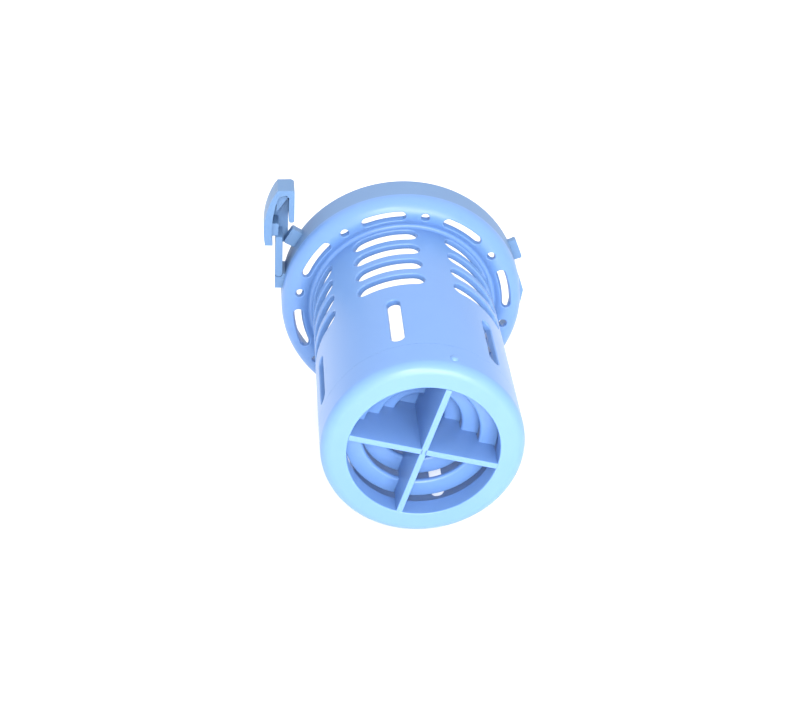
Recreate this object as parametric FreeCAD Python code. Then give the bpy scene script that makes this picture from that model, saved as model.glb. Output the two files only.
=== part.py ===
"""Slotted strainer cage with a shoulder flange and a tangential spring latch.

Millimetres. Y is the axis of the tube: the inlet end face lies in Y = 0 and the
flange is behind it. Z is up and X is to the right, seen from the inlet end.
Angles about the axis are counted from +Z towards +X.
"""
import FreeCAD, Part
import math
import os

# inlet end
INLET_R = 22.5
LIP_WALL = 1.8
LIP_DEPTH = 6.5
FACE_THICK = 2.4
END_ROUND = 3.4
END_LENGTH = 12.0

# tube
TUBE_R_NEAR = 30.1
TUBE_R_FAR = 29.6
WALL = 2.0
BORE_R = 27.7
BORE_START = 27.0
RELIEF = 0.4
TUBE_END = 83.9

# slots in the tube
GROUPS = 6
GROUP_START = -15.0
LONG_SLOT = (15.0, 38.0)
LONG_SLOT_WIDTH = 4.0
ROWS = 4
ROW_FIRST = 49.3
ROW_PITCH = 9.4
ROW_WIDTH = 6.2
ROW_SPAN = 42.0

# rounded shoulder and skirt
FLANGE_R = 39.8
BEAD_R = 5.1
BEAD_MIDDLE = FLANGE_R - BEAD_R
BEAD_INNER_ANGLE = 60.0
SKIRT_START = 85.7
SKIRT_END = 95.2
SKIRT_WALL = 2.0
VENTS = 8
VENT_START = -12.9
VENT_RADIUS = 34.3
VENT_WIDTH = 3.4
VENT_SPAN = 24.3
HOLE_R = 1.45

# cross and stepped louvre cone
WEB_THICK = 1.9
WEB_ANGLES = (15.8, 103.4)
STEPS = 3
STEP_FRONT = 9.5
STEP_DEPTH = 4.7
STEP_IN = 4.95
STEP_LAP = 0.5
RING_THICK = 2.0
RING_ROUND = 0.9

# bayonet lugs and latch
LUG_ANGLES = (67.5, 187.5)
LUG_WIDTH = 7.4
LUG_R = 42.3
LUG_Y = (92.8, 95.0)
CAM_ANGLE = 84.2
CAM_SPREAD = 8.7
CAM_R = 40.9
CAM_Y = (85.9, 88.9)
STOP_ANGLE = -60.0
STOP_WIDTH = 5.8
STOP_R = 43.6
STOP_Y = (90.5, 93.5)
LATCH_Y = (86.6, 95.2)
PIVOT = (-40.75, 9.6)
PIVOT_R = 1.2
PIVOT_GAP = 0.08
ROOT_LENGTH = 5.3
ARM_TOP = 23.3
PAD_TOP = 40.0
PAD_INNER_X = -35.9
PAD_INNER_BOTTOM = 28.6
PAD_WALL = 1.8
PAD_BACK = 1.4
WEB_BOTTOM = 17.6
TIE_X = (-43.4, -40.9)
TIE_TOP = 27.7
BOW_OUTER = ((-45.3, 20.0), (-45.2, 30.5), (-41.3, 40.0))
BOW_INNER = ((-42.8, 20.0), (-42.9, 29.5), (-40.8, 38.2))
GUSSET = ((-41.6, 36.9), (-37.7, 36.9), (-41.8, 31.0))

# locating pip
PIP_ANGLE = 14.7
PIP_Y = 5.2
PIP_R = 1.3
PIP_RISE = 0.7

OVER = 1.0
V = FreeCAD.Vector
ORIGIN = V(0, 0, 0)
AXIS = V(0, 1, 0)


def save(shape, node):
    """Write one piece to its own STEP file."""
    shape = shape.removeSplitter()
    if not shape.isValid() or len(shape.Solids) != 1:
        raise ValueError("%s: %d solids" % (node, len(shape.Solids)))
    shape.exportStep("parts/%s.step" % node)
    print("%-16s %9.1f mm3" % (node, shape.Volume))


def tube_radius(y):
    """Outer radius of the drafted tube at a distance from the end face."""
    return TUBE_R_NEAR + (TUBE_R_FAR - TUBE_R_NEAR) * y / TUBE_END


def turned(shape, degrees):
    """A copy turned about the tube's axis."""
    copy = shape.copy()
    copy.rotate(ORIGIN, AXIS, degrees)
    return copy


def cylinder(radius, y0, y1):
    """A solid cylinder on the axis."""
    return Part.makeCylinder(radius, y1 - y0, V(0, y0, 0), AXIS)


def pipe(outer, inner, y0, y1):
    """A plain sleeve on the axis."""
    return cylinder(outer, y0, y1).cut(cylinder(inner, y0 - OVER, y1 + OVER))


def revolved(edges):
    """A solid of revolution from edges in the X-Y half plane."""
    face = Part.Face(Part.Wire(Part.__sortEdges__(edges)))
    return face.revolve(ORIGIN, AXIS, 360)


def lines(points):
    """Straight edges from point to point."""
    return [Part.LineSegment(V(*a), V(*b)).toShape() for a, b in zip(points, points[1:])]


def corner(centre, radius, start, end):
    """A quarter arc in the X-Y plane between two angles in degrees."""
    middle = math.radians((start + end) / 2)
    ends = [math.radians(start), math.radians(end)]
    spots = [V(centre[0] + radius * math.cos(a), centre[1] + radius * math.sin(a), 0)
             for a in (ends[0], middle, ends[1])]
    return Part.Arc(*spots).toShape(), spots[0], spots[2]


def prism(outline, y0, y1):
    """A plate of constant thickness from (x, z) points."""
    wire = Part.makePolygon([V(x, y0, z) for x, z in outline + outline[:1]])
    return Part.Face(wire).extrude(V(0, y1 - y0, 0))


def stadium(length, width, depth):
    """A round-ended bar: length along Y, width along X, depth along Z."""
    half = (length - width) / 2
    body = Part.makeBox(width, 2 * half, depth, V(-width / 2, -half, 0))
    for end in (-half, half):
        body = body.fuse(Part.makeCylinder(width / 2, depth, V(0, end, 0), V(0, 0, 1)))
    return body.removeSplitter()


def end_ring():
    """Flat end face with a rounded outer edge and the first stretch of tube."""
    centre = (TUBE_R_NEAR - END_ROUND, END_ROUND)
    arc, first, last = corner(centre, END_ROUND, -90, 0)
    inner = BORE_R + RELIEF
    outer = tube_radius(END_LENGTH)
    path = [(last.x, last.y, 0), (outer, END_LENGTH, 0), (inner, END_LENGTH, 0),
            (inner, FACE_THICK + OVER, 0), (inner - OVER, FACE_THICK, 0),
            (INLET_R, FACE_THICK, 0), (INLET_R, 0, 0), (first.x, first.y, 0)]
    return revolved([arc] + lines(path))


def inlet_lip():
    """Short sleeve behind the end face, with a rounded free edge."""
    sleeve = pipe(INLET_R + LIP_WALL, INLET_R, FACE_THICK, LIP_DEPTH)
    rim = [e for e in sleeve.Edges if abs(e.BoundBox.YMin - LIP_DEPTH) < 1e-3 and e.Closed]
    return sleeve.makeFillet(LIP_WALL / 4, rim)


def row_slot(y):
    """One circumferential slot with round ends, centred on +Z."""
    half = ROW_SPAN / 2
    radius = ROW_WIDTH / 2
    depth = 3 * WALL
    r0 = TUBE_R_FAR - 2 * WALL
    ring = pipe(r0 + depth, r0, y - radius, y + radius)
    end_angle = half - math.degrees(radius / TUBE_R_FAR)
    reach = 2 * TUBE_R_NEAR
    tip = math.tan(math.radians(end_angle)) * reach
    wedge = prism([(0, 0), (-tip, reach), (tip, reach)], y - 2 * radius, y + 2 * radius)
    slot = ring.common(wedge)
    for side in (-end_angle, end_angle):
        peg = Part.makeCylinder(radius, depth, V(0, y, r0), V(0, 0, 1))
        slot = slot.fuse(turned(peg, side))
    return slot


def strainer_tube():
    """Drafted tube with six groups of slots, relieved inside near the inlet."""
    length = TUBE_END - END_LENGTH
    near = tube_radius(END_LENGTH)
    body = Part.makeCone(near, TUBE_R_FAR, length, V(0, END_LENGTH, 0), AXIS)
    body = body.cut(cylinder(BORE_R, BORE_START - OVER, TUBE_END + OVER))
    body = body.cut(cylinder(BORE_R + RELIEF, END_LENGTH - OVER, BORE_START))
    cuts = []
    long_length = LONG_SLOT[1] - LONG_SLOT[0]
    for group in range(GROUPS):
        angle = GROUP_START + 360.0 / GROUPS * group
        upright = stadium(long_length, LONG_SLOT_WIDTH, 3 * WALL)
        upright.translate(V(0, sum(LONG_SLOT) / 2, TUBE_R_FAR - 2 * WALL))
        cuts.append(turned(upright, angle))
        for row in range(ROWS):
            cuts.append(turned(row_slot(ROW_FIRST + ROW_PITCH * row), angle))
    return body.cut(cuts)


def vent_slot():
    """One curved vent through the shoulder, centred on +Z."""
    y0 = SKIRT_START - BEAD_R - OVER
    y1 = SKIRT_START
    half = VENT_WIDTH / 2
    end_angle = VENT_SPAN / 2 - math.degrees(half / VENT_RADIUS)
    reach = 2 * FLANGE_R
    tip = math.tan(math.radians(end_angle)) * reach
    ring = pipe(VENT_RADIUS + half, VENT_RADIUS - half, y0, y1)
    slot = ring.common(prism([(0, 0), (-tip, reach), (tip, reach)], y0, y1))
    for side in (-end_angle, end_angle):
        peg = Part.makeCylinder(half, y1 - y0, V(0, y0, VENT_RADIUS), AXIS)
        slot = slot.fuse(turned(peg, side))
    return slot


def bead_arc(radius, start, end):
    """An arc about the shoulder's own centre, counted from its crest outwards."""
    spots = []
    for angle in (start, (start + end) / 2, end):
        turn = math.radians(angle)
        spots.append(V(BEAD_MIDDLE + radius * math.sin(turn), SKIRT_START - radius * math.cos(turn), 0))
    return Part.Arc(*spots).toShape(), spots[0], spots[2]


def shoulder_flange():
    """Hollow rounded shoulder between tube and skirt, with vents and round holes."""
    outside, rim, neck = bead_arc(BEAD_R, 90, -BEAD_INNER_ANGLE)
    inside, low, high = bead_arc(BEAD_R - SKIRT_WALL, -90, 90)
    path = [(neck.x, neck.y, 0), (TUBE_R_FAR, TUBE_END, 0), (BORE_R, TUBE_END, 0),
            (BORE_R, SKIRT_START, 0), (low.x, low.y, 0)]
    rim_line = lines([(high.x, high.y, 0), (rim.x, rim.y, 0)])
    body = revolved([outside, inside] + rim_line + lines(path))
    step = 360.0 / VENTS
    cuts = []
    for vent in range(VENTS):
        angle = VENT_START + step * vent
        cuts.append(turned(vent_slot(), angle))
        hole = Part.makeCylinder(HOLE_R, BEAD_R + OVER, V(0, SKIRT_START - BEAD_R - OVER, VENT_RADIUS), AXIS)
        cuts.append(turned(hole, angle + step / 2))
    return body.cut(cuts)


def rim_skirt():
    """Plain skirt behind the shoulder with a rounded free edge."""
    skirt = pipe(FLANGE_R, FLANGE_R - SKIRT_WALL, SKIRT_START, SKIRT_END)
    rim = [e for e in skirt.Edges if abs(e.BoundBox.YMin - SKIRT_END) < 1e-3 and e.Closed]
    return skirt.makeFillet(SKIRT_WALL / 4, rim)


def step_front(step):
    """Distance of a louvre step's front face from the end face."""
    return STEP_FRONT + STEP_DEPTH * step


def step_radius(step):
    """Radius of the opening in front of a louvre step."""
    return INLET_R - STEP_IN * step


def web_plate(angle):
    """One plate of the cross, from side to side, in the widest box it needs."""
    plate = Part.makeBox(WEB_THICK, step_front(STEPS), 2 * INLET_R + 2 * OVER,
                         V(-WEB_THICK / 2, 0, -INLET_R - OVER))
    return turned(plate, angle)


def cross_web():
    """Two crossed webs whose sides step inwards behind each louvre ring."""
    hollow = cylinder(INLET_R, 0, step_front(0))
    for step in range(STEPS):
        hollow = hollow.fuse(cylinder(step_radius(step + 1), step_front(step), step_front(step + 1)))
    plates = web_plate(WEB_ANGLES[0]).fuse(web_plate(WEB_ANGLES[1]))
    return plates.common(hollow)


def louvre_ring(step):
    """One washer of the stepped cone, with a rounded inner edge."""
    front = step_front(step)
    inner = step_radius(step + 1)
    washer = pipe(step_radius(step) + STEP_LAP, inner, front, front + RING_THICK)
    edge = [e for e in washer.Edges
            if e.Closed and abs(e.BoundBox.XMax - inner) < 1e-2 and e.BoundBox.YLength < 1e-3]
    return washer.makeFillet(RING_ROUND, edge)


def louvre_hub():
    """Disc that closes the small end of the stepped cone."""
    front = step_front(STEPS)
    disc = cylinder(step_radius(STEPS) + STEP_LAP, front, front + RING_THICK)
    back = [e for e in disc.Edges if e.Closed and abs(e.BoundBox.YMin - front - RING_THICK) < 1e-3]
    return disc.makeFillet(RING_ROUND, back)


def skirt_block(angle, width, radius, reach):
    """Rectangular block on the outside of the skirt."""
    base = V(-width / 2, reach[0], FLANGE_R - OVER)
    block = Part.makeBox(width, reach[1] - reach[0], radius - FLANGE_R + OVER, base)
    block = block.cut(cylinder(FLANGE_R, reach[0] - OVER, reach[1] + OVER))
    return turned(block, angle)


def rim_cam():
    """Low pointed nose on the rim, two nearly tangent flanks."""
    outline = []
    for angle, radius in ((-CAM_SPREAD, FLANGE_R), (0, CAM_R), (CAM_SPREAD, FLANGE_R)):
        turn = math.radians(CAM_ANGLE + angle)
        outline.append((radius * math.sin(turn), radius * math.cos(turn)))
    nose = prism(outline, *CAM_Y)
    return nose.cut(cylinder(FLANGE_R, CAM_Y[0] - OVER, CAM_Y[1] + OVER))


def latch_root():
    """Foot of the latch on the skirt, hollowed for the arm's knuckle."""
    depth = LATCH_Y[1] - LATCH_Y[0]
    base = V(PIVOT[0] - PIVOT_R, LATCH_Y[0], PIVOT[1] - ROOT_LENGTH)
    block = Part.makeBox(4 * PIVOT_R, depth, ROOT_LENGTH, base)
    block = block.cut(cylinder(FLANGE_R, LATCH_Y[0] - OVER, LATCH_Y[1] + OVER))
    socket = Part.makeCylinder(PIVOT_R + PIVOT_GAP, depth + 2 * OVER,
                               V(PIVOT[0], LATCH_Y[0] - OVER, PIVOT[1]), AXIS)
    return block.cut(socket)


def latch_arm():
    """Straight spring arm along the skirt with a round knuckle."""
    outer_x = PIVOT[0] - PIVOT_R
    inner_x = PIVOT[0] + PIVOT_R
    outline = [(outer_x, PIVOT[1]), (inner_x, PIVOT[1]), (inner_x, ARM_TOP), (outer_x, ARM_TOP)]
    blade = prism(outline, LATCH_Y[0], LATCH_Y[1])
    depth = LATCH_Y[1] - LATCH_Y[0]
    knuckle = Part.makeCylinder(PIVOT_R, depth, V(PIVOT[0], LATCH_Y[0], PIVOT[1]), AXIS)
    return blade.fuse(knuckle)


def arm_tie():
    """Block that ties the arm's free end to the grip."""
    outline = [(TIE_X[0], ARM_TOP), (TIE_X[1], ARM_TOP), (TIE_X[1], TIE_TOP), (TIE_X[0], TIE_TOP)]
    return prism(outline, LATCH_Y[0] + OVER, LATCH_Y[1] - PAD_BACK).cut(thumb_pad())


def flat_arc(points, y):
    """An arc through three (x, z) points at a distance y."""
    return Part.Arc(*[V(x, y, z) for x, z in points]).toShape()


def flat_lines(points, y):
    """Straight edges through (x, z) points at a distance y."""
    return lines([(x, y, z) for x, z in points])


def thumb_pad():
    """Bowed outer wall, end wall and inner wall of the grip in one piece."""
    y0 = LATCH_Y[0]
    inner_x = PAD_INNER_X - PAD_WALL
    edges = [flat_arc(BOW_OUTER, y0), flat_arc(BOW_INNER, y0)]
    edges += flat_lines([BOW_OUTER[2], (PAD_INNER_X, PAD_TOP), (PAD_INNER_X, PAD_INNER_BOTTOM),
                         (inner_x, PAD_INNER_BOTTOM), (inner_x, BOW_INNER[2][1]), BOW_INNER[2]], y0)
    edges += flat_lines([BOW_OUTER[0], BOW_INNER[0]], y0)
    face = Part.Face(Part.Wire(Part.__sortEdges__(edges)))
    return face.extrude(V(0, LATCH_Y[1] - y0, 0))


def thumb_web():
    """Back plate inside the walls of the grip, carried down beside the arm."""
    y0 = LATCH_Y[1] - PAD_BACK
    inner_x = PAD_INNER_X - PAD_WALL
    arm_x = PIVOT[0] + PIVOT_R
    low = (BOW_INNER[0][0], ARM_TOP)
    edges = flat_lines([low, (arm_x, ARM_TOP), (arm_x, WEB_BOTTOM), (inner_x, WEB_BOTTOM),
                        (inner_x, BOW_INNER[2][1]), BOW_INNER[2]], y0)
    edges.append(flat_arc((BOW_INNER[2], BOW_INNER[1], low), y0))
    face = Part.Face(Part.Wire(Part.__sortEdges__(edges)))
    return face.extrude(V(0, PAD_BACK, 0)).cut(thumb_pad())


def thumb_gusset():
    """Triangular stiffener in the upper corner of the grip."""
    plate = prism(list(GUSSET), LATCH_Y[0] + 2 * OVER, LATCH_Y[1] - PAD_BACK)
    return plate.cut(thumb_pad())


def locating_pip():
    """Small round mark on the outside of the end ring."""
    radius = tube_radius(PIP_Y)
    ball_r = (PIP_R ** 2 + PIP_RISE ** 2) / (2 * PIP_RISE)
    ball = Part.makeSphere(ball_r, V(0, PIP_Y, radius + PIP_RISE - ball_r))
    core = cylinder(radius - PIP_RISE, -OVER, END_LENGTH)
    return turned(ball, PIP_ANGLE).cut(end_ring()).cut(core)


def main():
    os.makedirs("parts", exist_ok=True)
    save(end_ring(), "end_ring")
    save(inlet_lip(), "inlet_lip")
    save(strainer_tube(), "strainer_tube")
    save(shoulder_flange(), "shoulder_flange")
    save(rim_skirt(), "rim_skirt")
    save(cross_web(), "cross_web")
    for step in range(STEPS):
        save(louvre_ring(step), "louvre_ring_%d" % (step + 1))
    save(louvre_hub(), "louvre_hub")
    for number, angle in enumerate(LUG_ANGLES):
        save(skirt_block(angle, LUG_WIDTH, LUG_R, LUG_Y), "bayonet_lug_%d" % (number + 1))
    save(rim_cam(), "rim_cam")
    save(skirt_block(STOP_ANGLE, STOP_WIDTH, STOP_R, STOP_Y), "latch_stop")
    save(latch_root(), "latch_root")
    save(latch_arm(), "latch_arm")
    save(arm_tie(), "arm_tie")
    save(thumb_pad(), "thumb_pad")
    save(thumb_web(), "thumb_web")
    save(thumb_gusset(), "thumb_gusset")
    save(locating_pip(), "locating_pip")


main()
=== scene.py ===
import math

import bmesh
import bpy
from mathutils import Matrix, Vector
from mathutils.geometry import delaunay_2d_cdt


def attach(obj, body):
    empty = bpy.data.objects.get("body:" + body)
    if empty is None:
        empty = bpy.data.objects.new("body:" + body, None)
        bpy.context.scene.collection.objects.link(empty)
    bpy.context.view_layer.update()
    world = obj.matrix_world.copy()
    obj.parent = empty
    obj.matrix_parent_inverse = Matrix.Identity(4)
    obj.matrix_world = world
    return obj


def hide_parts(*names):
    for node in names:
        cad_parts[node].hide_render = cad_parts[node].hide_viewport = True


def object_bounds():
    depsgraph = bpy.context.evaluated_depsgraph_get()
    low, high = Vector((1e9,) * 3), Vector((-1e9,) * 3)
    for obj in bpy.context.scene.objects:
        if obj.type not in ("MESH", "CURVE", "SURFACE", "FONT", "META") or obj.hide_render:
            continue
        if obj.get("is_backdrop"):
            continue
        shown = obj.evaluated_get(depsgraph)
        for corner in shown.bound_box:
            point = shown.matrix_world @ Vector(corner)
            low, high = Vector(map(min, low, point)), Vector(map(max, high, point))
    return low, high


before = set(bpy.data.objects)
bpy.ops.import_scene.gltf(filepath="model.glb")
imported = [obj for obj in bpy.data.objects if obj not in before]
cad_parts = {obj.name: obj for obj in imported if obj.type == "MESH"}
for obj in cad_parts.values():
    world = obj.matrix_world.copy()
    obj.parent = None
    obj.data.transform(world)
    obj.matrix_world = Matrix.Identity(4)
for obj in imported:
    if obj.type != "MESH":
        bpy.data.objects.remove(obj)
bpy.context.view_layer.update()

mm = 0.001
scene = bpy.context.scene
print("frame loaded:", len(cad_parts), "pieces")

# the tube and flange, in mm; every piece below is worked out from these
cage = dict(
    nearRadius=30.1,
    farRadius=29.6,
    boreRadius=27.7,
    relief=0.4,          # the bore is wider by this much near the inlet
    reliefEnd=27.0,
    seam=12.0,           # the end ring meets the tube here
    neck=83.9,
    rimRadius=39.8,
    bead=5.1,            # the shoulder is a half round of this radius
    wall=2.0,
    skirtStart=85.7,
    skirtEnd=95.2,
)


# small helpers for shapes

def spot(angle, radius, y):
    # degrees about the tube's axis from up towards the right, mm along the axis
    turn = math.radians(angle)
    return Vector((radius * math.sin(turn), y, radius * math.cos(turn)))


def tubeRadius(y):
    return cage["nearRadius"] + (cage["farRadius"] - cage["nearRadius"]) * y / cage["neck"]


def roundCorners(corners, steps=5):
    # (x, y, radius) corners become points, with an arc where the radius is not 0
    points = []
    for index, (x, y, radius) in enumerate(corners):
        here = Vector((x, y))
        if not radius:
            points.append(here)
            continue
        before = (Vector(corners[index - 1][:2]) - here).normalized()
        after = (Vector(corners[(index + 1) % len(corners)][:2]) - here).normalized()
        half = before.angle(after) / 2
        centre = here + (before + after).normalized() * radius / math.sin(half)
        start = here + before * radius / math.tan(half) - centre
        end = here + after * radius / math.tan(half) - centre
        first = math.atan2(start.y, start.x)
        sweep = (math.atan2(end.y, end.x) - first + math.pi) % (2 * math.pi) - math.pi
        for step in range(steps + 1):
            angle = first + sweep * step / steps
            points.append(centre + Vector((math.cos(angle), math.sin(angle))) * radius)
    return points


def arcThrough(a, b, c, steps=16):
    # points of the circle arc from a to c by way of b
    (ax, ay), (bx, by), (cx, cy) = a, b, c
    d = 2 * (ax * (by - cy) + bx * (cy - ay) + cx * (ay - by))
    aa, bb, cc = ax * ax + ay * ay, bx * bx + by * by, cx * cx + cy * cy
    ux = (aa * (by - cy) + bb * (cy - ay) + cc * (ay - by)) / d
    uy = (aa * (cx - bx) + bb * (ax - cx) + cc * (bx - ax)) / d
    radius = math.hypot(ax - ux, ay - uy)
    first = math.atan2(ay - uy, ax - ux)
    sweep = (math.atan2(cy - uy, cx - ux) - first + math.pi) % (2 * math.pi) - math.pi
    turns = [first + sweep * step / steps for step in range(steps + 1)]
    return [(ux + radius * math.cos(t), uy + radius * math.sin(t)) for t in turns]


def addPiece(name, mesh, look, node, body="cage", weighted=True):
    # a finished mesh becomes a piece that stands for its CAD node
    obj = bpy.data.objects.new(name, mesh)
    scene.collection.objects.link(obj)
    mesh.materials.append(look["material"])
    if weighted:
        obj.modifiers.new("evenShading", "WEIGHTED_NORMAL").keep_sharp = True
    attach(obj, body)
    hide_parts(node)
    return obj


def meshFrom(bm, name, sharp=50):
    # closes off a bmesh made in mm: outward faces, metres, smooth with sharp edges kept
    bmesh.ops.recalc_face_normals(bm, faces=bm.faces)
    bmesh.ops.scale(bm, vec=(mm, mm, mm), verts=bm.verts)
    mesh = bpy.data.meshes.new(name)
    bm.to_mesh(mesh)
    bm.free()
    mesh.shade_smooth()
    mesh.set_sharp_from_angle(angle=math.radians(sharp))
    return mesh


def lathe(outline, segments=180):
    # a closed outline of (radius, y) turned about the tube's axis
    bm = bmesh.new()
    rings = []
    for index in range(segments):
        angle = 360 * index / segments
        rings.append([bm.verts.new(spot(angle, radius, y)) for radius, y in outline])
    count = len(outline)
    for index in range(segments):
        ring, following = rings[index], rings[(index + 1) % segments]
        for step in range(count):
            beside = (step + 1) % count
            bm.faces.new((ring[step], ring[beside], following[beside], following[step]))
    bmesh.ops.remove_doubles(bm, verts=bm.verts, dist=1e-4)
    return bm


def slab(outline, low, high, edge, place, segments=3):
    # an outline with thickness and rounded rims; place turns (a, b, depth) into a point
    bm = bmesh.new()
    front = [bm.verts.new(place(a, b, low)) for a, b in outline]
    back = [bm.verts.new(place(a, b, high)) for a, b in outline]
    count = len(outline)
    caps = [bm.faces.new(front), bm.faces.new(back)]
    for step in range(count):
        following = (step + 1) % count
        bm.faces.new((front[step], front[following], back[following], back[step]))
    if edge:
        rims = {e for cap in caps for e in cap.edges}
        bmesh.ops.bevel(bm, geom=list(rims), offset=edge, segments=segments, profile=0.5, affect="EDGES",
                        clamp_overlap=True)
    return bm


def joinShapes(shapes):
    # several bmeshes in one
    whole = shapes[0]
    for shape in shapes[1:]:
        copy = bpy.data.meshes.new("part")
        shape.to_mesh(copy)
        shape.free()
        whole.from_mesh(copy)
        bpy.data.meshes.remove(copy)
    return whole


# a sheet with rounded holes through it, with its own exact shading

class Skin:
    def __init__(self):
        self.points, self.faces, self.normals, self.known = [], [], [], {}

    def corner(self, point):
        key = tuple(round(c, 3) for c in point)
        if key not in self.known:
            self.known[key] = len(self.points)
            self.points.append(point)
        return self.known[key]

    def face(self, points, normals):
        turned = (points[1] - points[0]).cross(points[2] - points[1])
        if turned.dot(normals[0] + normals[1] + normals[2]) < 0:
            points, normals = points[::-1], normals[::-1]
        corners = [self.corner(p) for p in points]
        if len(set(corners)) == len(corners):
            self.faces.append(corners)
            self.normals.extend(normals)

    def mesh(self, name):
        made = bpy.data.meshes.new(name)
        made.from_pydata([p * mm for p in self.points], [], self.faces)
        made.shade_smooth()
        made.normals_split_custom_set(self.normals)
        return made


def slotOutline(hole, grow, capSteps=12, sideStep=1.4):
    # (along, across) points and outward directions of a round-ended slot, grown by so many mm
    half, radius = hole["straight"] / 2, hole["radius"] + grow
    sideSteps = max(1, round(hole["straight"] / sideStep))
    points = []
    for side, start in ((1, -90), (-1, 90)):
        for step in range(capSteps + (1 if half else 0)):
            turn = math.radians(start + 180 * step / capSteps)
            points.append((side * half + radius * math.cos(turn), radius * math.sin(turn),
                           math.cos(turn), math.sin(turn)))
        for step in range(1, sideSteps if half else 0):
            points.append((side * half * (1 - 2 * step / sideSteps), side * radius, 0.0, side))
    if hole["upright"]:
        points = [(-b, a, -bn, an) for a, b, an, bn in points]
    return [(hole["at"][0] + a, hole["at"][1] + b, an, bn) for a, b, an, bn in points]


def insideSlot(hole, a, b, grow):
    da, db = a - hole["at"][0], b - hole["at"][1]
    if hole["upright"]:
        da, db = db, da
    da = max(0.0, abs(da) - hole["straight"] / 2)
    return math.hypot(da, db) < hole["radius"] + grow


def flatMesh(holes, grow, sLow, sHigh, vLow, vHigh, sSteps, vSteps):
    # triangles of a rectangle with the holes left out, on an even grid
    gap = min((sHigh - sLow) / sSteps, (vHigh - vLow) / vSteps)
    points, edges = [], []
    for hole in holes:
        loop = slotOutline(hole, grow)
        first = len(points)
        points += [Vector(p[:2]) for p in loop]
        edges += [(first + i, first + (i + 1) % len(loop)) for i in range(len(loop))]
    for i in range(sSteps + 1):
        for j in range(vSteps + 1):
            s = sLow + (sHigh - sLow) * i / sSteps
            v = vLow + (vHigh - vLow) * j / vSteps
            spare = 0.05 if i in (0, sSteps) or j in (0, vSteps) else gap * 0.4
            if not any(insideSlot(hole, s, v, grow + spare) for hole in holes):
                points.append(Vector((s, v)))
    solved = delaunay_2d_cdt(points, edges, [], 0, 1e-5)
    verts, faces = solved[0], solved[2]
    kept = []
    for face in faces:
        middle = sum((verts[i] for i in face), Vector((0, 0))) / len(face)
        if not any(insideSlot(hole, middle.x, middle.y, grow - 1e-3) for hole in holes):
            kept.append([verts[i] for i in face])
    return kept


def pierce(skin, sheet, place, frameAt):
    # place(angle, v, depth 0..1) gives a point; frameAt(angle, v) gives along, across and outward directions
    ref = sheet["ref"]
    degrees = 180 / math.pi / ref
    sLow, sHigh = sheet["start"] / degrees, (sheet["start"] + 360 / sheet["copies"]) / degrees
    edge, thick = sheet["edge"], sheet["thick"]
    steps = [(math.radians(a), 0) for a in (0, 22.5, 45, 67.5, 90)]
    steps += [(math.radians(a), 1) for a in (90, 45, 0)]
    for copy in range(sheet["copies"]):
        offset = 360 * copy / sheet["copies"]
        for depth, side in ((0, "front"), (1, "back")):
            span = sheet[side]
            faces = flatMesh(sheet["holes"], edge, sLow, sHigh, span[0], span[1], sheet["sSteps"], span[2])
            for face in faces:
                angles = [p.x * degrees + offset for p in face]
                outward = [frameAt(a, p.y)[2] * (1 - 2 * depth) for a, p in zip(angles, face)]
                skin.face([place(a, p.y, depth) for a, p in zip(angles, face)], outward)
        for hole in sheet["holes"]:
            rings = []
            for turn, far in steps:
                grow = edge * (1 - math.sin(turn))
                sink = edge * (1 - math.cos(turn)) / thick
                ring = []
                for s, v, ms, mv in slotOutline(hole, grow):
                    angle = s * degrees + offset
                    along, across, outward = frameAt(angle, v)
                    face = outward * math.cos(turn) * (1 - 2 * far)
                    normal = face - (along * ms + across * mv) * math.sin(turn)
                    ring.append((place(angle, v, 1 - sink if far else sink), normal))
                rings.append(ring)
            for upper, lower in zip(rings, rings[1:]):
                for i in range(len(upper)):
                    quad = (upper[i], upper[(i + 1) % len(upper)], lower[(i + 1) % len(upper)], lower[i])
                    skin.face([q[0] for q in quad], [q[1] for q in quad])


def turnStrip(skin, path, angles):
    # a strip of (radius, y, outward radius, outward y) points turned about the axis
    for angle, following in zip(angles, angles[1:]):
        for a, b in zip(path, path[1:]):
            corners = [(angle, a), (angle, b), (following, b), (following, a)]
            points = [spot(t, p[0], p[1]) for t, p in corners]
            normals = [spot(t, p[2], 0) + Vector((0, p[3], 0)) for t, p in corners]
            skin.face(points, normals)


# materials

def hexColour(text):
    # sRGB hex to linear
    parts = [int(text[i:i + 2], 16) / 255 for i in (0, 2, 4)]
    return [c / 12.92 if c <= 0.04045 else ((c + 0.055) / 1.055) ** 2.4 for c in parts] + [1.0]


def addNode(tree, kind, values=None, links=None, **settings):
    node = tree.nodes.new(kind)
    for name, value in settings.items():
        setattr(node, name, value)
    for socket, value in (values or {}).items():
        node.inputs[socket].default_value = value
    for socket, source in (links or {}).items():
        tree.links.new(source, node.inputs[socket])
    return node


def perMetre(size):
    # texture scale for a feature of so many mm
    return 1 / (size * mm)


mouldedPolypropylene = dict(
    colour="5F84BA",      # pigment through and through
    flowColour="668ABF",  # paler where the melt ran
    flowSize=14.0,        # mm, wide soft flow marks
    peelSize=1.1,         # mm, orange peel of the polished mould
    grainSize=0.5,        # mm, spark-eroded grain, drawn about twice as coarse as it is
    roughness=(0.30, 0.40),
    peel=0.04,
    grain=0.0,
)


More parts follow.
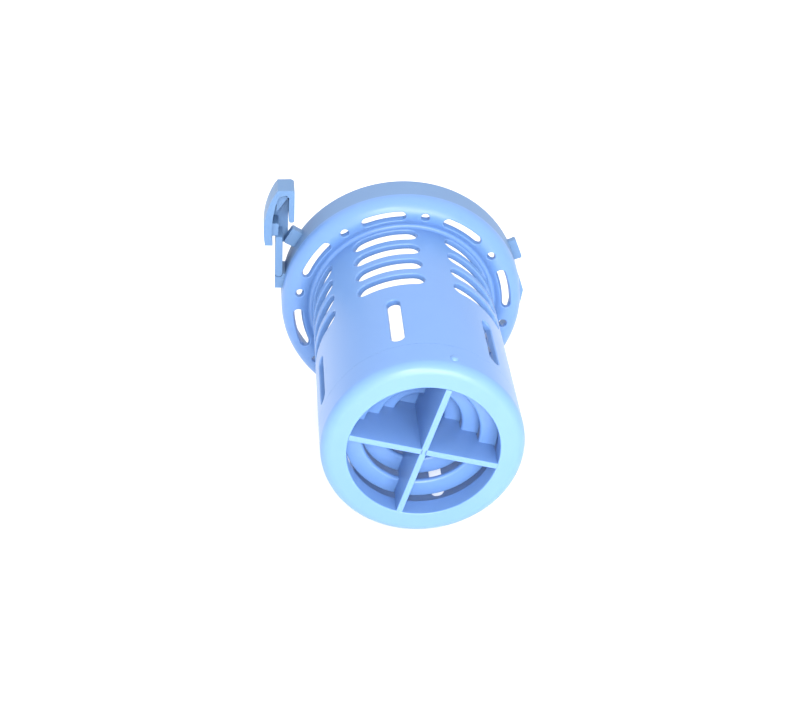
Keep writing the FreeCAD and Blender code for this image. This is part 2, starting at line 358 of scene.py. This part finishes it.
def mouldedMaterial(name, slot, **changes):
    # injection-moulded polypropylene: waxy satin gloss, slight glow where it is thin
    v = dict(mouldedPolypropylene, **changes)
    material = bpy.data.materials.new(name)
    material.use_nodes = True
    tree = material.node_tree
    tree.nodes.clear()
    place = addNode(tree, "ShaderNodeTexCoord").outputs["Object"]
    flow = addNode(tree, "ShaderNodeTexNoise", {"Scale": perMetre(v["flowSize"]), "Detail": 3.0,
                                                "Roughness": 0.55, "Distortion": 0.6}, {"Vector": place})
    peel = addNode(tree, "ShaderNodeTexNoise", {"Scale": perMetre(v["peelSize"]), "Detail": 2.0},
                   {"Vector": place})
    grain = addNode(tree, "ShaderNodeTexNoise", {"Scale": perMetre(v["grainSize"]), "Detail": 4.0,
                                                 "Roughness": 0.65}, {"Vector": place})
    tint = addNode(tree, "ShaderNodeMix", {6: hexColour(v["colour"]), 7: hexColour(v["flowColour"])},
                   {0: flow.outputs["Fac"]}, data_type="RGBA")
    rough = addNode(tree, "ShaderNodeMapRange", {"To Min": v["roughness"][0], "To Max": v["roughness"][1]},
                    {"Value": flow.outputs["Fac"]})
    soft = addNode(tree, "ShaderNodeBump", {"Strength": v["peel"], "Distance": 0.1 * mm},
                   {"Height": peel.outputs["Fac"]})
    bump = addNode(tree, "ShaderNodeBump", {"Strength": v["grain"], "Distance": 0.1 * mm},
                   {"Height": grain.outputs["Fac"], "Normal": soft.outputs["Normal"]})
    shader = addNode(tree, "ShaderNodeBsdfPrincipled",
                     {"IOR": 1.49, "Subsurface Weight": 0.12, "Subsurface Scale": 2.0 * mm,
                      "Subsurface Radius": (0.6, 0.8, 1.0)},
                     {"Base Color": tint.outputs[2], "Roughness": rough.outputs["Result"],
                      "Normal": bump.outputs["Normal"]})
    addNode(tree, "ShaderNodeOutputMaterial", None, {"Surface": shader.outputs["BSDF"]})
    return dict(material=material, slot=slot)


cageLook = mouldedMaterial("mouldedPolypropyleneSatin", "cage_plastic")
# the skirt and the latch are set greyer and less blue than the cage
skirtLook = mouldedMaterial("mouldedPolypropyleneGrained", "skirt_plastic",
                            colour="607FA8", flowColour="6685AC", roughness=(0.5, 0.6), grain=0.35)
latchLook = mouldedMaterial("mouldedPolypropyleneLatch", "latch_plastic",
                            colour="587AA2", flowColour="5E80A8", roughness=(0.4, 0.5), grain=0.12)
print("materials made")


# inlet end: ring, lip, cross and stepped louvre cone

inlet = dict(radius=22.5, lipWall=1.8, lipDepth=6.5, faceThick=2.4, endRound=3.4, edge=0.35)


def endRing(v):
    outer, inner = tubeRadius(cage["seam"]), cage["boreRadius"] + cage["relief"]
    outline = roundCorners([
        (v["radius"], 0.0, v["edge"]),
        (cage["nearRadius"] - 0.02, 0.0, v["endRound"]),
        (outer, cage["seam"], 0.12),
        (inner, cage["seam"], 0.0),
        (inner, v["faceThick"], 1.0),
        (v["radius"], v["faceThick"], 0.0),
    ], steps=8)
    addPiece("endRing", meshFrom(lathe(outline), "endRing"), cageLook, "end_ring")


def inletLip(v):
    outer = v["radius"] + v["lipWall"]
    outline = roundCorners([
        (v["radius"], v["faceThick"], 0.0),
        (outer, v["faceThick"], 0.0),
        (outer, v["lipDepth"], 0.5),
        (v["radius"], v["lipDepth"], 0.5),
    ])
    addPiece("inletLip", meshFrom(lathe(outline), "inletLip"), cageLook, "inlet_lip")


endRing(inlet)
inletLip(inlet)

louvre = dict(steps=3, front=9.5, depth=4.7, inward=4.95, lap=0.5, thick=2.0, innerRound=0.9, outerRound=0.3)


def stepRadius(v, step):
    return inlet["radius"] - v["inward"] * step


def stepFront(v, step):
    return v["front"] + v["depth"] * step


def louvreRings(v):
    for step in range(v["steps"]):
        front, back = stepFront(v, step), stepFront(v, step) + v["thick"]
        inner, outer = stepRadius(v, step + 1), stepRadius(v, step) + v["lap"]
        outline = roundCorners([
            (inner, front, v["innerRound"]),
            (outer, front, v["outerRound"]),
            (outer, back, v["outerRound"]),
            (inner, back, v["innerRound"]),
        ])
        name = "louvreRing%d" % (step + 1)
        addPiece(name, meshFrom(lathe(outline, 144), name), cageLook, "louvre_ring_%d" % (step + 1))


def louvreHub(v):
    front, back = stepFront(v, v["steps"]), stepFront(v, v["steps"]) + v["thick"]
    outer = stepRadius(v, v["steps"]) + v["lap"]
    outline = roundCorners([
        (0.0, front, 0.0),
        (outer, front, v["outerRound"]),
        (outer, back, v["innerRound"]),
        (0.0, back, 0.0),
    ])
    addPiece("louvreHub", meshFrom(lathe(outline, 96), "louvreHub"), cageLook, "louvre_hub")


louvreRings(louvre)
louvreHub(louvre)

cross = dict(thick=1.9, angles=(15.8, 103.4), edge=0.2)


def crossWeb(v):
    # one plate from side to side, and two half plates that meet it at the axis
    side = [(stepRadius(louvre, 0), 0.0)]
    for step in range(louvre["steps"] + 1):
        side.append((stepRadius(louvre, step), stepFront(louvre, step)))
        if step < louvre["steps"]:
            side.append((stepRadius(louvre, step + 1), stepFront(louvre, step)))
    whole = side + [(-r, y) for r, y in reversed(side)]
    root = v["thick"] / 2 - 0.4
    half = side + [(root, side[-1][1]), (root, 0.0)]
    shapes = []
    for outline, angle in ((whole, v["angles"][0]), (half, v["angles"][1]), (half, v["angles"][1] + 180)):
        lie = Matrix.Rotation(math.radians(angle), 3, "Y")
        shapes.append(slab(outline, -v["thick"] / 2, v["thick"] / 2, v["edge"],
                           lambda r, y, across, lie=lie: lie @ Vector((across, y, r)), segments=2))
    addPiece("crossWeb", meshFrom(joinShapes(shapes), "crossWeb"), cageLook, "cross_web")


crossWeb(cross)
print("inlet end made")


# slotted tube

slots = dict(groups=6, start=-15.0, longFrom=15.0, longTo=38.0, longWidth=4.0,
             rows=4, rowFirst=49.3, rowPitch=9.4, rowWidth=6.2, rowSpan=42.0)


def strainerTube(v):
    ref = cage["farRadius"]
    perDegree = ref * math.pi / 180
    middle = v["start"] * perDegree
    longRadius, rowRadius = v["longWidth"] / 2, v["rowWidth"] / 2
    holes = [dict(at=(middle, (v["longFrom"] + v["longTo"]) / 2), upright=True, radius=longRadius,
                  straight=v["longTo"] - v["longFrom"] - 2 * longRadius)]
    for row in range(v["rows"]):
        holes.append(dict(at=(middle, v["rowFirst"] + v["rowPitch"] * row), upright=False, radius=rowRadius,
                          straight=v["rowSpan"] * perDegree - 2 * rowRadius))
    sheet = dict(ref=ref, start=v["start"] - 180 / v["groups"], copies=v["groups"], holes=holes, edge=0.45,
                 thick=2.0, sSteps=20, front=(cage["seam"], cage["neck"], 30),
                 back=(cage["seam"], cage["neck"], 30))

    def innerRadius(y):
        return cage["boreRadius"] + cage["relief"] * min(1.0, max(0.0, (cage["reliefEnd"] - y) / 2.0))

    def place(angle, y, depth):
        outer = tubeRadius(y)
        return spot(angle, outer + (innerRadius(y) - outer) * depth, y)

    def frameAt(angle, y):
        turn = math.radians(angle)
        return (Vector((math.cos(turn), 0, -math.sin(turn))), Vector((0, 1, 0)),
                Vector((math.sin(turn), 0, math.cos(turn))))

    skin = Skin()
    pierce(skin, sheet, place, frameAt)
    count = sheet["sSteps"] * v["groups"]
    angles = [sheet["start"] + 360 * i / count for i in range(count + 1)]
    for y, way in ((cage["seam"], -1), (cage["neck"], 1)):
        turnStrip(skin, [(tubeRadius(y), y, 0, way), (innerRadius(y), y, 0, way)], angles)
    addPiece("strainerTube", skin.mesh("strainerTube"), cageLook, "strainer_tube", weighted=False)


strainerTube(slots)
print("tube made")


# rounded shoulder and skirt

vents = dict(count=8, start=-12.9, radius=34.3, width=3.4, span=24.3, holeRadius=1.45, innerAngle=60.0,
             neckFillet=1.0)


def shoulderFlange(v):
    # the sheet is bent round the bead: across it goes by length from the crest outwards
    ref, bead = v["radius"], cage["bead"]
    middle = cage["rimRadius"] - bead
    perDegree = ref * math.pi / 180
    pitch = 360 / v["count"]
    at = ref - middle
    holes = [dict(at=(v["start"] * perDegree, at), upright=False, radius=v["width"] / 2,
                  straight=v["span"] * perDegree - v["width"]),
             dict(at=((v["start"] - pitch / 2) * perDegree, at), upright=False, radius=v["holeRadius"],
                  straight=0.0)]
    inner, outer = -bead * math.radians(v["innerAngle"]), bead * math.pi / 2
    # a fillet that touches both the bead and the tube, where the two meet
    fillet = v["neckFillet"]
    apart = bead + fillet
    touch = math.asin((bead - fillet) / apart)
    sheet = dict(ref=ref, start=v["start"] - pitch * 0.64, copies=v["count"], holes=holes, edge=0.3,
                 thick=cage["wall"], sSteps=20, front=(-bead * touch, outer, 12), back=(inner, outer, 14))

    def profile(across, depth):
        bend = across / bead
        radius = bead - cage["wall"] * depth
        return middle + radius * math.sin(bend), cage["skirtStart"] - radius * math.cos(bend)

    def place(angle, across, depth):
        radius, y = profile(across, depth)
        return spot(angle, radius, y)

    def frameAt(angle, across):
        turn, bend = math.radians(angle), across / bead
        outwards = Vector((math.sin(turn), 0, math.cos(turn)))
        axis = Vector((0, 1, 0))
        return (Vector((math.cos(turn), 0, -math.sin(turn))),
                outwards * math.cos(bend) + axis * math.sin(bend),
                outwards * math.sin(bend) - axis * math.cos(bend))

    skin = Skin()
    pierce(skin, sheet, place, frameAt)
    count = sheet["sSteps"] * v["count"]
    angles = [sheet["start"] + 360 * i / count for i in range(count + 1)]
    bend = math.radians(v["innerAngle"])
    foot = []
    for step in range(9):
        turn = -math.pi / 2 + (math.pi - (math.pi / 2 - touch)) * step / 8
        foot.append((cage["farRadius"] + fillet + fillet * math.sin(turn),
                     cage["skirtStart"] - apart * math.cos(touch) + fillet * math.cos(turn),
                     -math.sin(turn), -math.cos(turn)))
    back = cage["skirtStart"]
    leg = [(middle - (bead - cage["wall"]) * math.sin(a), back - (bead - cage["wall"]) * math.cos(a),
            math.sin(a), math.cos(a)) for a in [bend + (math.pi / 2 - bend) * i / 4 for i in range(5)]]
    inside = leg[-1][0]
    flats = [
        [(cage["farRadius"], cage["neck"], 0, -1), (cage["boreRadius"], cage["neck"], 0, -1)],
        [(cage["boreRadius"], cage["neck"], -1, 0), (cage["boreRadius"], back, -1, 0)],
        [(cage["boreRadius"], back, 0, 1), (inside, back, 0, 1)],
        [(cage["rimRadius"], back, 0, 1), (cage["rimRadius"] - cage["wall"], back, 0, 1)],
    ]
    for path in [foot, leg] + flats:
        turnStrip(skin, path, angles)
    addPiece("shoulderFlange", skin.mesh("shoulderFlange"), cageLook, "shoulder_flange", weighted=False)


shoulderFlange(vents)


def rimSkirt():
    front, back = cage["skirtStart"], cage["skirtEnd"]
    inner, outer = cage["rimRadius"] - cage["wall"], cage["rimRadius"]
    outline = roundCorners([(inner, front, 0.0), (outer, front, 0.2),
                            (outer, back, 0.5), (inner, back, 0.5)])
    addPiece("rimSkirt", meshFrom(lathe(outline), "rimSkirt"), skirtLook, "rim_skirt")


rimSkirt()
print("shoulder and skirt made")


# lugs, stop and pip

blocks = dict(
    edge=0.3,
    sink=0.3,
    lug=dict(angles=(67.5, 187.5), width=7.4, radius=42.3, y=(92.8, 95.0)),
    stop=dict(angle=-60.0, width=5.8, radius=43.6, y=(90.5, 93.5)),
    cam=dict(angle=84.2, spread=8.7, radius=40.9, y=(85.9, 88.9)),
)


def skirtBlock(v, name, node, angle, block):
    # a block with rounded corners, let into the skirt a little
    half = block["width"] / 2
    base = cage["rimRadius"] - v["sink"] - half * half / 2 / cage["rimRadius"]
    outline = roundCorners([(-half, base, 0.0), (half, base, 0.0), (half, block["radius"], 0.5),
                            (-half, block["radius"], 0.5)])
    lie = Matrix.Rotation(math.radians(angle), 3, "Y")
    bm = slab(outline, block["y"][0], block["y"][1], v["edge"], lambda x, z, y: lie @ Vector((x, y, z)))
    addPiece(name, meshFrom(bm, name), latchLook, node)


def rimCam(v):
    # a low nose with two flanks that leave the rim almost along it
    foot = cage["rimRadius"]
    outline = []
    for step in range(-6, 7):
        share = abs(step) / 6
        angle = math.radians(v["angle"] + v["spread"] * step / 6)
        flat = foot * math.cos(math.radians(v["spread"])) / math.cos(math.radians(v["spread"] * (1 - share)))
        radius = v["radius"] - (v["radius"] - foot) * share ** 0.8
        outline.append((max(radius, flat) * math.sin(angle), max(radius, flat) * math.cos(angle)))
    for step in range(6, -7, -2):
        angle = math.radians(v["angle"] + v["spread"] * step / 6)
        outline.append(((foot - 0.4) * math.sin(angle), (foot - 0.4) * math.cos(angle)))
    bm = slab(outline, v["y"][0], v["y"][1], 0.15, lambda x, z, y: Vector((x, y, z)), segments=2)
    addPiece("rimCam", meshFrom(bm, "rimCam"), cageLook, "rim_cam")


for number, angle in enumerate(blocks["lug"]["angles"]):
    skirtBlock(blocks, "bayonetLug%d" % (number + 1), "bayonet_lug_%d" % (number + 1), angle, blocks["lug"])
skirtBlock(blocks, "latchStop", "latch_stop", blocks["stop"]["angle"], blocks["stop"])
rimCam(blocks["cam"])

pip = dict(angle=14.7, y=5.2, radius=1.3, rise=0.7)


def locatingPip(v):
    # a low dome with a soft foot
    bm = bmesh.new()
    lie = Matrix.Rotation(math.radians(v["angle"]), 3, "Y")
    base = tubeRadius(v["y"]) - 0.15
    rings = []
    for step in range(9):
        t = step / 8
        reach = v["radius"] * math.cos(t * math.pi / 2)
        lift = (v["rise"] + 0.15) * math.sin(t * math.pi / 2)
        if step == 8:
            rings.append([bm.verts.new(lie @ Vector((0, v["y"], base + lift)))])
            continue
        turns = [2 * math.pi * i / 32 for i in range(32)]
        circle = [Vector((reach * math.cos(a), v["y"] + reach * math.sin(a), base + lift)) for a in turns]
        rings.append([bm.verts.new(lie @ point) for point in circle])
    bm.faces.new(rings[0])
    for lower, upper in zip(rings, rings[1:]):
        for i in range(32):
            if len(upper) == 1:
                bm.faces.new((lower[i], lower[(i + 1) % 32], upper[0]))
            else:
                bm.faces.new((lower[i], lower[(i + 1) % 32], upper[(i + 1) % 32], upper[i]))
    addPiece("locatingPip", meshFrom(bm, "locatingPip"), cageLook, "locating_pip")


locatingPip(pip)
print("lugs and pip made")


# latch: root on the skirt, spring arm, thumb grip

latch = dict(low=86.6, high=95.2, pivot=(-40.75, 9.6), pivotRadius=1.2, gap=0.08, rootLength=5.3,
             armTop=23.3, padTop=40.0, innerX=-35.9, innerBottom=28.6, webBottom=17.6,
             wall=1.8, back=1.4, tie=(-43.4, -40.9, 27.7), edge=0.3,
             bowOuter=((-45.3, 20.0), (-45.2, 30.5), (-41.3, 40.0)),
             bowInner=((-42.8, 20.0), (-42.9, 29.5), (-40.8, 38.2)),
             gusset=((-41.6, 36.9), (-37.7, 36.9), (-41.8, 31.0)))


def acrossLatch(x, z, y):
    return Vector((x, y, z))


def latchPiece(name, node, outline, low, high, body="latch", edge=None):
    bm = slab(outline, low, high, latch["edge"] if edge is None else edge, acrossLatch)
    addPiece(name, meshFrom(bm, name), latchLook, node, body)


def latchRoot(v):
    # follows the skirt on one side and is hollowed for the arm's knuckle on top
    x, z = v["pivot"]
    outerX, top, bottom = x - v["pivotRadius"], z, z - v["rootLength"]
    socket = v["pivotRadius"] + v["gap"]
    hollow = [(x + socket * math.cos(a), z + socket * math.sin(a))
              for a in [math.radians(180 + 180 * i / 16) for i in range(17)]]
    skin = cage["rimRadius"] - 0.1
    heights = [top + (bottom - top) * i / 8 for i in range(9)]
    wallSide = [(-math.sqrt(skin ** 2 - h ** 2), h) for h in heights]
    start = (outerX, z - math.sqrt(socket ** 2 - v["pivotRadius"] ** 2))
    outline = [(outerX, bottom), start] + [p for p in hollow if p[0] > outerX + 0.05] + wallSide
    latchPiece("latchRoot", "latch_root", outline, v["low"], v["high"], body="cage", edge=0.0)


def latchArm(v):
    x, z = v["pivot"]
    radius = v["pivotRadius"]
    knuckle = [(x + radius * math.cos(a), z + radius * math.sin(a))
               for a in [math.radians(180 + 180 * i / 16) for i in range(17)]]
    blade = [(x + radius, v["armTop"]), (x - radius, v["armTop"])]
    latchPiece("latchArm", "latch_arm", knuckle + blade, v["low"], v["high"])


def thumbGrip(v):
    left, right, top = v["tie"]
    armX = v["pivot"][0] + v["pivotRadius"]
    tie = roundCorners([(left, v["armTop"] - 0.2, 0.0), (right, v["armTop"] - 0.2, 0.0), (right, top, 0.4),
                        (left, top, 0.4)])
    latchPiece("armTie", "arm_tie", tie, v["low"] + 1.0, v["high"] - v["back"])
    innerX = v["innerX"] - v["wall"]
    outer = arcThrough(*v["bowOuter"])
    inner = arcThrough(*v["bowInner"])
    shoulder = roundCorners([
        outer[-1] + (0.0,),
        (v["innerX"], v["padTop"], 1.0),
        (v["innerX"], v["innerBottom"], 0.5),
        (innerX, v["innerBottom"], 0.5),
        (innerX, inner[-1][1], 0.6),
        inner[-1] + (0.0,),
    ])
    outline = [Vector(p) for p in outer[:-1]] + shoulder + [Vector(p) for p in reversed(inner[:-1])]
    latchPiece("thumbPad", "thumb_pad", outline, v["low"], v["high"])
    low = (v["bowInner"][0][0], v["armTop"])
    web = [p for p in inner if p[1] > low[1]]
    plate = [low, (armX, v["armTop"]), (armX, v["webBottom"]), (innerX, v["webBottom"]),
             (innerX, inner[-1][1])] + web[::-1]
    latchPiece("thumbWeb", "thumb_web", plate, v["high"] - v["back"], v["high"] - 0.05, edge=0.1)
    latchPiece("thumbGusset", "thumb_gusset", list(v["gusset"]), v["low"] + 2.0, v["high"] - v["back"],
               edge=0.2)


latchRoot(latch)
latchArm(latch)
thumbGrip(latch)
print("latch made")


# floor, light and camera

studio = dict(
    paperColour="F4F5F6",
    paperSize=4.0,         # m
    paperGap=0.0002,       # m, keeps the paper clear of the part
    skyBright=1.75,        # white tent, a little brighter above than behind
    skyDim=0.8,
    skyDirection=(0.0, -0.4, 1.0),
    keyFrom=(-0.15, -1.0, 0.72),
    keyDistance=0.8,       # m
    keySize=0.08,
    keyPower=2.4,
    nearFrom=(0.15, -1.0, 0.3),   # close in front of the inlet, so that it falls off along the tube
    nearDistance=0.32,
    nearSize=0.2,
    nearPower=0.95,
)


def makeFloor(v):
    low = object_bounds()[0].z
    half = v["paperSize"] / 2
    bm = bmesh.new()
    height = low - v["paperGap"]
    signs = ((-1, -1), (1, -1), (1, 1), (-1, 1))
    bm.faces.new([bm.verts.new((x * half, y * half, height)) for x, y in signs])
    bmesh.ops.subdivide_edges(bm, edges=bm.edges, cuts=4, use_grid_fill=True)
    mesh = bpy.data.meshes.new("studioFloor")
    bm.to_mesh(mesh)
    bm.free()
    floor = bpy.data.objects.new("studioFloor", mesh)
    scene.collection.objects.link(floor)
    material = bpy.data.materials.new("whitePaper")
    material.use_nodes = True
    shader = material.node_tree.nodes["Principled BSDF"]
    shader.inputs["Base Color"].default_value = hexColour(v["paperColour"])
    shader.inputs["Roughness"].default_value = 0.9
    mesh.materials.append(material)
    floor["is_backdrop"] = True


def softBox(name, direction, distance, size, power):
    data = bpy.data.lights.new(name, "AREA")
    data.shape = "DISK"
    data.size = size
    data.energy = power
    light = bpy.data.objects.new(name, data)
    scene.collection.objects.link(light)
    away = Vector(direction).normalized()
    light.location = Vector((0, 0.045, 0)) + away * distance
    light.rotation_mode = "QUATERNION"
    light.rotation_quaternion = (-away).to_track_quat("-Z", "Y")
    return light


def makeStudio(v):
    world = bpy.data.worlds.new("whiteTent")
    world.use_nodes = True
    tree = world.node_tree
    direction = addNode(tree, "ShaderNodeTexCoord").outputs["Generated"]
    side = addNode(tree, "ShaderNodeVectorMath", {1: Vector(v["skyDirection"]).normalized()}, {0: direction},
                   operation="DOT_PRODUCT").outputs["Value"]
    glow = addNode(tree, "ShaderNodeMapRange", {"From Min": -0.5, "From Max": 0.9, "To Min": v["skyDim"],
                                                "To Max": v["skyBright"]}, {"Value": side})
    tree.links.new(glow.outputs["Result"], tree.nodes["Background"].inputs["Strength"])
    tree.nodes["Background"].inputs["Color"].default_value = (1.0, 1.0, 1.0, 1.0)
    scene.world = world
    softBox("keyLight", v["keyFrom"], v["keyDistance"], v["keySize"], v["keyPower"])
    softBox("nearLight", v["nearFrom"], v["nearDistance"], v["nearSize"], v["nearPower"])
    scene.view_settings.view_transform = "Standard"


makeFloor(studio)
makeStudio(studio)

cameraSetup = dict(
    azimuth=-6.13,      # degrees, 0 looks along the tube
    elevation=32.6,
    roll=3.3,
    distance=534.5,     # mm from the aim point
    aim=(-3.2, 50.0, 1.5),
    lens=76.5,
)


def makeCamera(v):
    turn, lift = math.radians(v["azimuth"]), math.radians(v["elevation"])
    back = Vector((math.sin(turn) * math.cos(lift), -math.cos(turn) * math.cos(lift), math.sin(lift)))
    data = bpy.data.cameras.new("productCamera")
    data.lens = v["lens"]
    data.sensor_width = 36.0
    data.clip_start, data.clip_end = 0.01, 20.0
    camera = bpy.data.objects.new("productCamera", data)
    scene.collection.objects.link(camera)
    camera.rotation_mode = "QUATERNION"
    camera.location = (Vector(v["aim"]) + back * v["distance"]) * mm
    level = (-back).to_track_quat("-Z", "Y")
    camera.rotation_quaternion = level @ Matrix.Rotation(math.radians(v["roll"]), 3, "Z").to_quaternion()
    scene.camera = camera


makeCamera(cameraSetup)
print("studio set")
